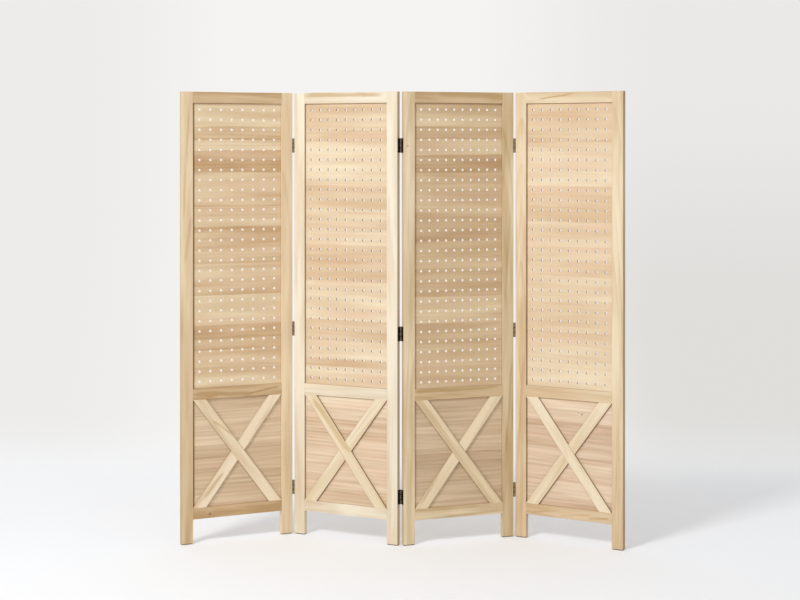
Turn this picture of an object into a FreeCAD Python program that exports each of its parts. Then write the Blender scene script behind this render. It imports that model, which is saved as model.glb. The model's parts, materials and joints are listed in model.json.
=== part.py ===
import FreeCAD, Part
import os
from math import cos, pi, radians, sin
from types import SimpleNamespace

import Sketcher

# Folding screen: four frame-and-panel leaves on butt hinges, standing in a zigzag.
# Each panel has two stiles that run down as legs, three rails, a perforated peg board
# above, and a plain board with a crossed brace below.
# Millimetres and degrees. +Z is up, the fronts face -Y, and the origin lies on the
# floor under the middle of the whole footprint.
# A panel has its own frame: X along its width from the left edge, Y from its front
# face to its back, Z up from the floor.

# Driving dimensions: alias, value, meaning
DRIVING = (
    ("screen_height", 1700.0, "floor to the top of a panel"),
    ("panel_width", 450.0, "one panel across its stiles"),
    ("timber_thickness", 20.0, "front to back of the stiles and rails"),
    ("stile_width", 45.0, "face width of a stile"),
    ("rail_height", 42.0, "face height of a rail"),
    ("leg_clearance", 92.0, "floor to the underside of the bottom rail"),
    ("lower_opening_height", 407.0, "bottom rail to middle rail"),
    ("arris", 0.8, "bevel that eases the long edges of the timbers"),
    ("glide_thickness", 3.0, "pad under each leg"),
    ("glide_inset", 2.0, "pad set back from the sides of its leg"),
    ("tenon_length", 14.0, "rail tenon beyond its shoulder"),
    ("tenon_thickness", 8.0, "front to back of a tenon"),
    ("tenon_shoulder", 9.0, "tenon set in from the edges of its rail"),
    ("tenon_play", 0.1, "glue gap round a tenon"),
    ("tenon_end_play", 0.5, "gap at the bottom of a mortise"),
    ("board_thickness", 5.0, "peg board and lower board"),
    ("board_setback", 7.0, "frame front to board front"),
    ("board_play", 0.25, "gap at each face of a board in its groove"),
    ("board_edge_play", 0.9, "room for a board to swell in its groove"),
    ("groove_depth", 8.0, "groove in the stiles and rails"),
    ("brace_width", 43.0, "face width of a brace slat"),
    ("brace_thickness", 6.5, "front to back of a brace slat"),
    ("lap_play", 0.1, "gap inside the halving joint"),
    ("peg_hole_radius", 4.75, "round hole for a peg"),
    ("peg_hole_relief", 0.05, "flat-sided holes lie this far inside the round"),
    ("peg_hole_sides", 6, "flat sides that stand for the round of a repeated hole"),
    ("peg_field_width", 304.0, "first to last column of holes"),
    ("peg_field_height", 1026.0, "first to last row of holes"),
    ("peg_rows", 28, "rows of holes"),
    ("peg_columns_1", 8, "columns of holes in panel 1"),
    ("peg_columns_2", 9, "columns of holes in panel 2"),
    ("peg_columns_3", 10, "columns of holes in panel 3"),
    ("peg_columns_4", 9, "columns of holes in panel 4"),
    ("peg_gauge_column", 5, "column of the hole with a full round wall"),
    ("peg_gauge_row", 15, "row, from the bottom, of the hole with a full round wall"),
    ("hinge_low", 180.0, "floor to the middle of the low hinge"),
    ("hinge_middle", 792.0, "floor to the middle of the middle hinge"),
    ("hinge_high", 1498.0, "floor to the middle of the high hinge"),
    ("hinge_height", 54.0, "one hinge along its pin"),
    ("knuckle_count", 3, "knuckles of a hinge"),
    ("knuckle_radius", 3.5, "outside of a knuckle, and half the gap between panels"),
    ("knuckle_gap", 0.3, "between neighbouring knuckles"),
    ("knuckle_swing_gap", 0.3, "between a knuckle and the leaf that swings round it"),
    ("leaf_thickness", 1.5, "sheet of a hinge leaf"),
    ("leaf_reach", 17.5, "pin axis to the free edge of a leaf"),
    ("axis_stand_off", 1.5, "pin axis proud of the face of the panel"),
    ("pin_radius", 2.0, "hinge pin"),
    ("pin_play", 0.05, "running clearance round the pin"),
    ("screw_length", 15.0, "hinge screw from head to point"),
    ("screw_head_radius", 3.2, "countersunk head"),
    ("screw_shank_radius", 1.5, "shank"),
    ("countersink_angle", 45.0, "flank of a screw head from its axis, degrees"),
    ("screw_sides", 6, "flat sides that stand for the round of a screw"),
    ("screw_spacing", 34.0, "between the two screws of a leaf"),
    ("screw_play", 0.05, "gap round a screw"),
    ("screw_end_play", 1.0, "gap at the bottom of a pilot hole"),
    ("row_turn", 26.69, "panel 1 turned from the line of the row, degrees"),
    ("fold_1_2", 54.66, "panel 2 folded against panel 1, degrees"),
    ("fold_2_3", 48.81, "panel 3 folded against panel 2, degrees"),
    ("fold_3_4", 52.92, "panel 4 folded against panel 3, degrees"),
)

document = FreeCAD.newDocument("folding_screen")
sheet = document.addObject("Spreadsheet::Sheet", "Sizes")
for row, (alias, number, meaning) in enumerate(DRIVING, start=1):
    sheet.set("A%d" % row, meaning)
    sheet.set("B%d" % row, str(number))
    sheet.setAlias("B%d" % row, alias)
document.recompute()


class Size:
    """A number together with the expression that binds it to the sheet."""

    def __init__(self, number, text):
        self.number = float(number)
        self.text = text

    def combine(self, other, sign, result):
        text = other.text if isinstance(other, Size) else repr(other)
        return Size(result, "(%s %s %s)" % (self.text, sign, text))

    def __add__(self, other):
        return self.combine(other, "+", self.number + number_of(other))

    def __sub__(self, other):
        return self.combine(other, "-", self.number - number_of(other))

    def __mul__(self, other):
        return self.combine(other, "*", self.number * number_of(other))

    def __truediv__(self, other):
        return self.combine(other, "/", self.number / number_of(other))

    def __neg__(self):
        return self * -1

    __radd__ = __add__
    __rmul__ = __mul__


def number_of(value):
    return value.number if isinstance(value, Size) else float(value)


size = SimpleNamespace(**{
    alias: Size(sheet.get(alias), "Sizes." + alias) for alias, _, _ in DRIVING
})

# Places that several pieces share, in the frame of a panel
bottom_rail_base = size.leg_clearance
lower_opening_base = bottom_rail_base + size.rail_height
middle_rail_base = lower_opening_base + size.lower_opening_height
upper_opening_base = middle_rail_base + size.rail_height
top_rail_base = size.screen_height - size.rail_height
right_stile_edge = size.panel_width - size.stile_width
opening_width = size.panel_width - 2 * size.stile_width
tenon_front = (size.timber_thickness - size.tenon_thickness) / 2
tenon_height = size.rail_height - 2 * size.tenon_shoulder
board_seat = size.groove_depth - size.board_edge_play
groove_front = size.board_setback - size.board_play
groove_width = size.board_thickness + 2 * size.board_play
brace_front = size.board_setback - size.brace_thickness
peg_field_corner = (
    (size.panel_width - size.peg_field_width) / 2,
    (upper_opening_base + top_rail_base - size.peg_field_height) / 2,
)

# Places that the pieces of a hinge share, from its pin axis
hinge_base = size.hinge_low - size.hinge_height / 2
hinge_steps = (size.hinge_middle - size.hinge_low, size.hinge_high - size.hinge_middle)
knuckle_pitch = size.hinge_height / size.knuckle_count
knuckle_length = knuckle_pitch - size.knuckle_gap
leaf_face = size.knuckle_radius - size.leaf_thickness
leaf_root = size.knuckle_radius + size.knuckle_swing_gap
screw_reach = (leaf_root + size.leaf_reach) / 2

PANELS = (1, 2, 3, 4)
HINGED_PAIRS = {(1, 2): "front", (2, 3): "back", (3, 4): "front"}

sub_parts = []


def bind(item, path, value):
    """Ties one property of an object to the sheet."""
    if isinstance(value, Size):
        item.setExpression(path, value.text)


def new_body(label):
    body = document.addObject("PartDesign::Body", label)
    body.Label = label
    sub_parts.append(body)
    return body


def new_sketch(body, name, role, height=None):
    """A sketch on an origin plane of its body, lifted along the plane's normal."""
    sketch = body.newObject("Sketcher::SketchObject", body.Name + "_" + name)
    planes = {plane.Role: plane for plane in body.Origin.OriginFeatures}
    sketch.AttachmentSupport = (planes[role], [""])
    sketch.MapMode = "FlatFace"
    bind(sketch, "AttachmentOffset.Base.z", height)
    return sketch


def dimension(sketch, kind, elements, value):
    """A driving dimension of the sketch, bound to the sheet."""
    index = sketch.addConstraint(Sketcher.Constraint(kind, *elements, number_of(value)))
    bind(sketch, "Constraints[%d]" % index, value)


def place_point(sketch, line, end, x, y):
    """Fixes one point by its distances from the two axes of the sketch."""
    for kind, value, axis in (("DistanceX", x, -2), ("DistanceY", y, -1)):
        if number_of(value) == 0:
            sketch.addConstraint(Sketcher.Constraint("PointOnObject", line, end, axis))
        else:
            dimension(sketch, kind, (-1, 1, line, end), value)


def closed_lines(sketch, corners):
    """A closed run of lines through the corners, and the index of its first line."""
    points = [FreeCAD.Vector(number_of(x), number_of(y)) for x, y in corners]
    first = sketch.GeometryCount
    count = len(points)
    for index, point in enumerate(points):
        sketch.addGeometry(Part.LineSegment(point, points[(index + 1) % count]))
    for index in range(count):
        following = first + (index + 1) % count
        sketch.addConstraint(Sketcher.Constraint("Coincident", first + index, 2, following, 1))
    return first


def draw_outline(sketch, corners):
    """A closed outline whose corners are each dimensioned from the axes."""
    first = closed_lines(sketch, corners)
    for index, (x, y) in enumerate(corners):
        place_point(sketch, first + index, 1, x, y)


def draw_rectangle(sketch, left, low, width, height):
    right, high = left + width, low + height
    draw_outline(sketch, ((left, low), (right, low), (right, high), (left, high)))


def draw_eased_rectangle(sketch, left, low, width, height):
    """A rectangle whose four corners carry the arris."""
    right, high, ease = width + left, height + low, size.arris
    draw_outline(sketch, (
        (ease + left, low), (right - ease, low), (right, ease + low), (right, high - ease),
        (right - ease, high), (ease + left, high), (left, high - ease), (left, ease + low),
    ))


def draw_circle(sketch, x, y, radius):
    centre = FreeCAD.Vector(number_of(x), number_of(y))
    up = FreeCAD.Vector(0, 0, 1)
    circle = sketch.addGeometry(Part.Circle(centre, up, number_of(radius)))
    place_point(sketch, circle, 3, x, y)
    dimension(sketch, "Radius", (circle,), radius)
    return circle


def draw_polygon(sketch, x, y, radius, sides):
    """A regular polygon inside its construction circle, with one side upright."""
    circle = draw_circle(sketch, x, y, radius)
    sketch.toggleConstruction(circle)
    count = int(number_of(sides))
    turn = 2 * pi / count
    corners = [
        (number_of(x) + number_of(radius) * cos(turn * (index - 0.5)),
         number_of(y) + number_of(radius) * sin(turn * (index - 0.5)))
        for index in range(count)
    ]
    first = closed_lines(sketch, corners)
    for line in range(first, first + count):
        sketch.addConstraint(Sketcher.Constraint("PointOnObject", line, 1, circle))
    for line in range(first + 1, first + count):
        sketch.addConstraint(Sketcher.Constraint("Equal", first, line))
    sketch.addConstraint(Sketcher.Constraint("Vertical", first))


def add_feature(body, kind, sketch, length, reverse=False, taper=None):
    """A pad or pocket of the sketch; a pocket with no length goes right through."""
    feature = body.newObject("PartDesign::" + kind, sketch.Name + "_" + kind.lower())
    feature.Profile = sketch
    feature.Reversed = reverse
    if length is None:
        feature.Type = "ThroughAll"
        feature.Midplane = True
    else:
        bind(feature, "Length", length)
    if taper is not None:
        bind(feature, "TaperAngle", taper)
    sketch.Visibility = False
    return feature


def repeat_body(body, name, role):
    """A pattern of the whole shape along the normal of an origin plane.

    The shape has to be worked out before a pattern can take it up.
    """
    document.recompute()
    pattern = body.newObject("PartDesign::LinearPattern", body.Name + "_" + name)
    planes = {plane.Role: plane for plane in body.Origin.OriginFeatures}
    pattern.Direction = (planes[role], [""])
    pattern.TransformMode = "Whole shape"
    body.Tip = pattern
    return pattern


def repeat_on_hinges(body):
    """Repeats the whole shape from the low hinge to the middle and the high one."""
    pattern = repeat_body(body, "hinges", "XY_Plane")
    pattern.Mode = "Spacing"
    pattern.Occurrences = 1 + len(hinge_steps)
    pattern.Spacings = [number_of(step) for step in hinge_steps]
    for index, step in enumerate(hinge_steps):
        bind(pattern, "Spacings[%d]" % index, step)


def screw_depth(face):
    """Screws of a leaf on a stile edge, behind the front of the panel."""
    depth = screw_reach - size.axis_stand_off
    return depth if face == "front" else size.timber_thickness - depth


def screw_heights(hinge_middle):
    half = size.screw_spacing / 2
    return hinge_middle - half, hinge_middle + half


# Stiles


def make_stile(panel, side, hinge_face):
    """A stile with its leg, its board groove, three mortises and pilot holes."""
    left = side == "left"
    body = new_body("%s_stile_%d" % (side, panel))
    outer = 0 if left else right_stile_edge
    outline = new_sketch(body, "section", "XY_Plane", size.glide_thickness)
    draw_eased_rectangle(outline, outer, 0, size.stile_width, size.timber_thickness)
    add_feature(body, "Pad", outline, size.screen_height - size.glide_thickness)

    inner_edge = size.stile_width if left else right_stile_edge
    groove = new_sketch(body, "groove", "YZ_Plane", inner_edge)
    groove_base = bottom_rail_base + size.tenon_shoulder
    groove_top = size.screen_height - size.tenon_shoulder
    draw_rectangle(groove, groove_front, groove_base, groove_width, groove_top - groove_base)
    add_feature(body, "Pocket", groove, size.groove_depth, reverse=not left)

    mortises = new_sketch(body, "mortises", "YZ_Plane", inner_edge)
    for base in (bottom_rail_base, middle_rail_base, top_rail_base):
        draw_rectangle(
            mortises,
            tenon_front - size.tenon_play,
            base + size.tenon_shoulder - size.tenon_play,
            size.tenon_thickness + 2 * size.tenon_play,
            tenon_height + 2 * size.tenon_play,
        )
    depth = size.tenon_length + size.tenon_end_play
    add_feature(body, "Pocket", mortises, depth, reverse=not left)

    if hinge_face:
        pilots = new_sketch(body, "pilots", "YZ_Plane", outer if left else size.panel_width)
        radius = size.screw_shank_radius + size.screw_play
        for middle in (size.hinge_low, size.hinge_middle, size.hinge_high):
            for height in screw_heights(middle):
                draw_polygon(pilots, screw_depth(hinge_face), height, radius, size.screw_sides)
        depth = size.screw_length - size.leaf_thickness + size.screw_end_play
        add_feature(body, "Pocket", pilots, depth, reverse=left)


# Rails


def make_rail(panel, place, base, groove_bases):
    """A rail between the stiles, with a stub tenon at each end and its board grooves."""
    body = new_body("%s_rail_%d" % (place, panel))
    section = new_sketch(body, "section", "YZ_Plane", size.stile_width)
    draw_eased_rectangle(section, 0, base, size.timber_thickness, size.rail_height)
    add_feature(body, "Pad", section, opening_width)
    for index, groove_base in enumerate(groove_bases):
        groove = new_sketch(body, "groove_%d" % index, "YZ_Plane", size.stile_width)
        draw_rectangle(groove, groove_front, groove_base, groove_width, size.groove_depth)
        add_feature(body, "Pocket", groove, opening_width, reverse=True)
    for name, shoulder, leftward in (
        ("left_tenon", size.stile_width, True), ("right_tenon", right_stile_edge, False),
    ):
        tenon = new_sketch(body, name, "YZ_Plane", shoulder)
        tenon_base = base + size.tenon_shoulder
        draw_rectangle(tenon, tenon_front, tenon_base, size.tenon_thickness, tenon_height)
        add_feature(body, "Pad", tenon, size.tenon_length, reverse=leftward)


# Boards


def make_board(label, base, top):
    """A thin board held on all four edges in the grooves of its frame."""
    body = new_body(label)
    outline = new_sketch(body, "outline", "XZ_Plane", -size.board_setback)
    left = size.stile_width - board_seat
    width = opening_width + 2 * board_seat
    draw_rectangle(outline, left, base - board_seat, width, top - base + 2 * board_seat)
    add_feature(body, "Pad", outline, size.board_thickness, reverse=True)
    return body


def make_peg_board(panel, columns):
    """The upper board with its field of peg holes, centred in the opening."""
    body = make_board("peg_board_%d" % panel, upper_opening_base, top_rail_base)

    # The gauge hole has its full round wall. The flat-sided one that the field puts
    # there later lies inside it and cuts nothing.
    gauge = new_sketch(body, "gauge", "XZ_Plane", -size.board_setback)
    draw_circle(gauge, *gauge_place(columns), size.peg_hole_radius)
    add_feature(body, "Pocket", gauge, None)

    hole = new_sketch(body, "hole", "XZ_Plane", -size.board_setback)
    corner_radius = size.peg_hole_radius - size.peg_hole_relief
    draw_polygon(hole, *peg_field_corner, corner_radius, size.peg_hole_sides)
    drilled = add_feature(body, "Pocket", hole, None)
    field = body.newObject("PartDesign::LinearPattern", body.Name + "_field")
    field.Originals = [drilled]
    field.Direction = (hole, ["H_Axis"])
    bind(field, "Length", size.peg_field_width)
    bind(field, "Occurrences", columns)
    field.Direction2 = (hole, ["V_Axis"])
    bind(field, "Length2", size.peg_field_height)
    bind(field, "Occurrences2", size.peg_rows)
    field.Refine = False
    body.Tip = field


def gauge_place(columns):
    """The gauge hole in the frame of its panel."""
    column_pitch = size.peg_field_width / (columns - 1)
    row_pitch = size.peg_field_height / (size.peg_rows - 1)
    x = peg_field_corner[0] + column_pitch * (size.peg_gauge_column - 1)
    z = peg_field_corner[1] + row_pitch * (size.peg_gauge_row - 1)
    return x, z


# Crossed brace


def draw_brace(sketch, rising):
    """A slat from corner to corner of the lower opening, cut level on the rails.

    Two long edges are parallel and one brace width apart. Each starts in a corner of
    the opening, and the sketch finds the slope that fits them in.
    """
    left, right = size.stile_width, right_stile_edge
    low, high = lower_opening_base, middle_rail_base
    start, end = (left, right) if rising else (right, left)
    foot = size.brace_width if rising else -size.brace_width
    corners = ((start, low), (start + foot, low), (end, high), (end - foot, high))
    first = closed_lines(sketch, corners)
    place_point(sketch, first, 1, start, low)
    place_point(sketch, first + 2, 1, end, high)
    sketch.addConstraint(Sketcher.Constraint("Horizontal", first))
    sketch.addConstraint(Sketcher.Constraint("Horizontal", first + 2))
    sketch.addConstraint(Sketcher.Constraint("Parallel", first + 1, first + 3))
    dimension(sketch, "Distance", (first, 1, first + 1), size.brace_width)


def make_brace_slat(panel, over):
    """One slat of the brace, halved where the other one crosses it."""
    body = new_body("brace_%s_%d" % ("over" if over else "under", panel))
    outline = new_sketch(body, "outline", "XZ_Plane", -brace_front)
    draw_brace(outline, rising=not over)
    add_feature(body, "Pad", outline, size.brace_thickness, reverse=True)
    housing_face = size.board_setback if over else brace_front
    housing = new_sketch(body, "housing", "XZ_Plane", -housing_face)
    draw_brace(housing, rising=over)
    half = (size.brace_thickness + size.lap_play) / 2
    add_feature(body, "Pocket", housing, half, reverse=over)


# Glides


def make_glides(panel):
    """The pads under the two legs of a panel."""
    body = new_body("glides_%d" % panel)
    outline = new_sketch(body, "outline", "XY_Plane")
    inset = size.glide_inset
    width = size.stile_width - 2 * inset
    draw_rectangle(outline, inset, inset, width, size.timber_thickness - 2 * inset)
    add_feature(body, "Pad", outline, size.glide_thickness)
    pair = repeat_body(body, "pair", "YZ_Plane")
    pair.Occurrences = 2
    bind(pair, "Length", right_stile_edge)


# Hinges, each drawn about its pin axis with the leaf reaching along +Y


def make_leaves(label, hand, knuckles):
    """The leaves on one stile edge: sheet, rolled knuckles and countersunk holes."""
    body = new_body(label)
    inside, outside = hand * leaf_face, hand * size.knuckle_radius
    sheet_width = outside - inside
    plate = new_sketch(body, "plate", "XY_Plane", hinge_base)
    draw_rectangle(plate, inside, leaf_root, sheet_width, size.leaf_reach - leaf_root)
    add_feature(body, "Pad", plate, size.hinge_height)
    for index in knuckles:
        base = hinge_base + knuckle_pitch * index + size.knuckle_gap / 2
        barrel = new_sketch(body, "barrel_%d" % index, "XY_Plane", base)
        draw_circle(barrel, 0, 0, size.knuckle_radius)
        add_feature(body, "Pad", barrel, knuckle_length)
        root = new_sketch(body, "root_%d" % index, "XY_Plane", base)
        draw_outline(root, (
            (inside, 0), (outside, 0), (outside, leaf_root), (inside, leaf_root),
        ))
        add_feature(body, "Pad", root, knuckle_length)
    bore = new_sketch(body, "bore", "XY_Plane", hinge_base)
    draw_circle(bore, 0, 0, size.pin_radius + size.pin_play)
    add_feature(body, "Pocket", bore, size.hinge_height, reverse=True)
    holes = new_sketch(body, "countersinks", "YZ_Plane", inside)
    for height in screw_heights(size.hinge_low):
        radius = size.screw_head_radius + size.screw_play
        draw_polygon(holes, screw_reach, height, radius, size.screw_sides)
    add_feature(body, "Pocket", holes, size.leaf_thickness, reverse=hand > 0,
                taper=-size.countersink_angle)
    repeat_on_hinges(body)
    return body


def make_screws(label, hand):
    """The countersunk screws of the leaves on one stile edge."""
    body = new_body(label)
    heads = new_sketch(body, "heads", "YZ_Plane", hand * leaf_face)
    shanks = new_sketch(body, "shanks", "YZ_Plane", hand * size.knuckle_radius)
    for height in screw_heights(size.hinge_low):
        draw_polygon(heads, screw_reach, height, size.screw_head_radius, size.screw_sides)
        draw_polygon(shanks, screw_reach, height, size.screw_shank_radius, size.screw_sides)
    add_feature(body, "Pad", heads, size.leaf_thickness, reverse=hand < 0,
                taper=-size.countersink_angle)
    shank_length = size.screw_length - size.leaf_thickness
    add_feature(body, "Pad", shanks, shank_length, reverse=hand < 0)
    repeat_on_hinges(body)
    return body


def make_pins(label):
    """The pins of one pair of panels."""
    body = new_body(label)
    outline = new_sketch(body, "outline", "XY_Plane", hinge_base)
    draw_circle(outline, 0, 0, size.pin_radius)
    add_feature(body, "Pad", outline, size.hinge_height)
    repeat_on_hinges(body)
    return body


# Where the panels and the hinge axes stand


def axis_depth(face):
    """A pin axis behind the front of its panels."""
    stand_off = number_of(size.axis_stand_off)
    return -stand_off if face == "front" else number_of(size.timber_thickness) + stand_off


def turned(x, y, turn):
    angle = radians(turn)
    return x * cos(angle) - y * sin(angle), x * sin(angle) + y * cos(angle)


def stand_panels():
    """Turns the row out panel by panel and centres its footprint on the origin.

    Returns the corner and turn of each panel and the place of each pin axis.
    """
    width, radius = number_of(size.panel_width), number_of(size.knuckle_radius)
    folds = {(1, 2): -size.fold_1_2.number, (2, 3): size.fold_2_3.number,
             (3, 4): -size.fold_3_4.number}
    stands = {1: (0.0, 0.0, number_of(size.row_turn))}
    axes = {}
    for pair, face in HINGED_PAIRS.items():
        x, y, turn = stands[pair[0]]
        along, across = turned(width + radius, axis_depth(face), turn)
        axes[pair] = (x + along, y + across)
        next_turn = turn + folds[pair]
        along, across = turned(-radius, axis_depth(face), next_turn)
        stands[pair[1]] = (axes[pair][0] - along, axes[pair][1] - across, next_turn)

    ease, depth = number_of(size.arris), number_of(size.timber_thickness)
    outline = [(x, y) for x in (0, width) for y in (ease, depth - ease)]
    outline += [(x, y) for x in (ease, width - ease) for y in (0, depth)]
    footprint = []
    for x, y, turn in stands.values():
        for corner in outline:
            along, across = turned(*corner, turn)
            footprint.append((x + along, y + across))
    middle_x, middle_y = (
        (min(values) + max(values)) / 2 for values in zip(*footprint)
    )
    stands = {panel: (x - middle_x, y - middle_y, turn) for panel, (x, y, turn) in stands.items()}
    axes = {pair: (x - middle_x, y - middle_y) for pair, (x, y) in axes.items()}
    return stands, axes


def placement(x, y, turn):
    upright = FreeCAD.Vector(0, 0, 1)
    return FreeCAD.Placement(FreeCAD.Vector(x, y, 0), FreeCAD.Rotation(upright, turn))


def place_all(bodies, where):
    for body in bodies:
        body.Placement = where


def make_panel(panel, where):
    """Every piece of one panel, without its hinges."""
    faces = {"left": None, "right": None}
    for pair, face in HINGED_PAIRS.items():
        if panel == pair[0]:
            faces["right"] = face
        if panel == pair[1]:
            faces["left"] = face
    first = len(sub_parts)
    for side in ("left", "right"):
        make_stile(panel, side, faces[side])
    make_rail(panel, "bottom", bottom_rail_base, (lower_opening_base - size.groove_depth,))
    make_rail(panel, "middle", middle_rail_base,
              (middle_rail_base, upper_opening_base - size.groove_depth))
    make_rail(panel, "top", top_rail_base, (top_rail_base,))
    make_peg_board(panel, getattr(size, "peg_columns_%d" % panel))
    make_board("lower_board_%d" % panel, lower_opening_base, middle_rail_base)
    make_brace_slat(panel, over=True)
    make_brace_slat(panel, over=False)
    make_glides(panel)
    place_all(sub_parts[first:], where)


def make_hinges(pair, face, axis, stands):
    """The three hinges of one pair of panels, with their screws and pins.

    A hinge on the backs is the one on the fronts turned half round, so that each leaf
    then reaches towards the front and the hands change places.
    """
    half_turn = 0 if face == "front" else 180
    knuckle_count = int(number_of(size.knuckle_count))
    for panel, edge, hand, first in ((pair[0], "right", -1, 0), (pair[1], "left", 1, 1)):
        drawn_hand = hand if face == "front" else -hand
        knuckles = range(first, knuckle_count, 2)
        leaves = make_leaves("hinge_leaves_%d_%s" % (panel, edge), drawn_hand, knuckles)
        screws = make_screws("hinge_screws_%d_%s" % (panel, edge), drawn_hand)
        place_all((leaves, screws), placement(*axis, stands[panel][2] + half_turn))
    pins = make_pins("hinge_pins_%d_%d" % pair)
    place_all((pins,), placement(*axis, stands[pair[0]][2]))


def check_document():
    """Stops before anything is written if a feature failed or a pocket cut nothing."""
    for item in document.Objects:
        if "Invalid" in item.State or "Error" in item.State:
            raise RuntimeError("%s failed: %s" % (item.Label, item.State))
        if item.TypeId == "PartDesign::Pocket":
            if item.Shape.Volume >= item.BaseFeature.Shape.Volume:
                raise RuntimeError("%s cuts nothing" % item.Label)
    for body in sub_parts:
        if body.Shape.isNull() or not body.Shape.isValid():
            raise RuntimeError("%s has no valid shape" % body.Label)


stands, axes = stand_panels()
for panel in PANELS:
    make_panel(panel, placement(*stands[panel]))
for pair, face in HINGED_PAIRS.items():
    make_hinges(pair, face, axes[pair], stands)
document.recompute()
check_document()

os.makedirs("parts", exist_ok=True)
for body in sub_parts:
    body.Shape.exportStep("parts/%s.step" % body.Label)

for pair, (x, y) in axes.items():
    print("pin axis %d-%d at %.4f, %.4f" % (*pair, x, y))
for panel in PANELS:
    x, z = gauge_place(getattr(size, "peg_columns_%d" % panel))
    depth = size.board_setback + size.board_thickness / 2
    along, across = turned(x.number, depth.number, stands[panel][2])
    place = (stands[panel][0] + along, stands[panel][1] + across, z.number)
    print("panel %d turned %.3f, gauge hole at %.4f, %.4f, %.4f" % (panel, stands[panel][2], *place))
    print("panel %d front corner at %.4f, %.4f" % (panel, stands[panel][0], stands[panel][1]))
print("%d sub-parts written" % len(sub_parts))
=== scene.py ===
import json
import logging
import math
import random
from collections.abc import Callable, Iterable, Sequence
from dataclasses import dataclass, field
from enum import Enum
from functools import reduce

import bmesh
import bpy
from mathutils import Matrix, Vector


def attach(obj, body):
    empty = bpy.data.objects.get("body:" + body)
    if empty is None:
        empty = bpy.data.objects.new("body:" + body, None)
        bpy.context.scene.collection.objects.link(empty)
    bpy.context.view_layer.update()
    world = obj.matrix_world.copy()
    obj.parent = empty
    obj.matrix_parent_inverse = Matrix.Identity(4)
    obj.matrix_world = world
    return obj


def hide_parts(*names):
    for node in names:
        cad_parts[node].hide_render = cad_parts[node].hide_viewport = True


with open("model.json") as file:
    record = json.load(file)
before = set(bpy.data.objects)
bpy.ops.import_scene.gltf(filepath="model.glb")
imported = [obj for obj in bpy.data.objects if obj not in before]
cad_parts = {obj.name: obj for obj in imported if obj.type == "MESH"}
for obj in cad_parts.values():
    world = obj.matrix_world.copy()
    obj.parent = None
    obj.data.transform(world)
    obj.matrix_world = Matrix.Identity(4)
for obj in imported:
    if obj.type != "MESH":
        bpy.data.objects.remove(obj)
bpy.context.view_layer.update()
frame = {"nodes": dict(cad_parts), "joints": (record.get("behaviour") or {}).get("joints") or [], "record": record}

# A folding screen of four wooden panels on butt hinges: each has a perforated peg board
# above and a plain board with a crossed brace below. Lengths are metres in the row frame.
# A panel's own frame has X along its width from the left edge, Y from its front to its
# back, and Z up from the floor.

LOG = logging.getLogger("folding_screen")
MM = 0.001
UP = Vector((0.0, 0.0, 1.0))
MOUNTS = {mount["name"]: mount for mount in frame["record"]["mounts"]}

Link = bpy.types.NodeSocket
Material = bpy.types.Material
Mesh = bpy.types.Mesh
Node = bpy.types.Node
Piece = bpy.types.Object
Shape = bmesh.types.BMesh
Band = tuple[float, float]
Triple = tuple[float, float, float]


# Shader and geometry graphs


@dataclass(frozen=True)
class Tone:
    """A colour as it is seen, in 0 to 255."""

    red: float
    green: float
    blue: float

    def linear(self) -> tuple[float, float, float, float]:
        """The colour as a shader takes it."""
        shares = [part / 255.0 for part in (self.red, self.green, self.blue)]
        return (*(s / 12.92 if s <= 0.04045 else ((s + 0.055) / 1.055) ** 2.4 for s in shares), 1.0)


class Value:
    """A number socket of a graph, so that sums on it are written as expressions."""

    def __init__(self, graph: "Graph", socket: Link) -> None:
        """Keeps the graph and its socket."""
        self.graph = graph
        self.socket = socket

    def __add__(self, other: "Value | float") -> "Value":
        """Sum."""
        return self.graph.math("ADD", self, other)

    def __sub__(self, other: "Value | float") -> "Value":
        """Difference."""
        return self.graph.math("SUBTRACT", self, other)

    def __rsub__(self, other: float) -> "Value":
        """Difference with the number first."""
        return self.graph.math("SUBTRACT", other, self)

    def __mul__(self, other: "Value | float") -> "Value":
        """Product."""
        return self.graph.math("MULTIPLY", self, other)

    def __truediv__(self, other: "Value | float") -> "Value":
        """Quotient."""
        return self.graph.math("DIVIDE", self, other)

    def size(self) -> "Value":
        """The number without its sign."""
        return self.graph.math("ABSOLUTE", self)

    def most(self, other: "Value") -> "Value":
        """The larger of two numbers."""
        return self.graph.math("MAXIMUM", self, other)

    __radd__ = __add__
    __rmul__ = __mul__


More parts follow.
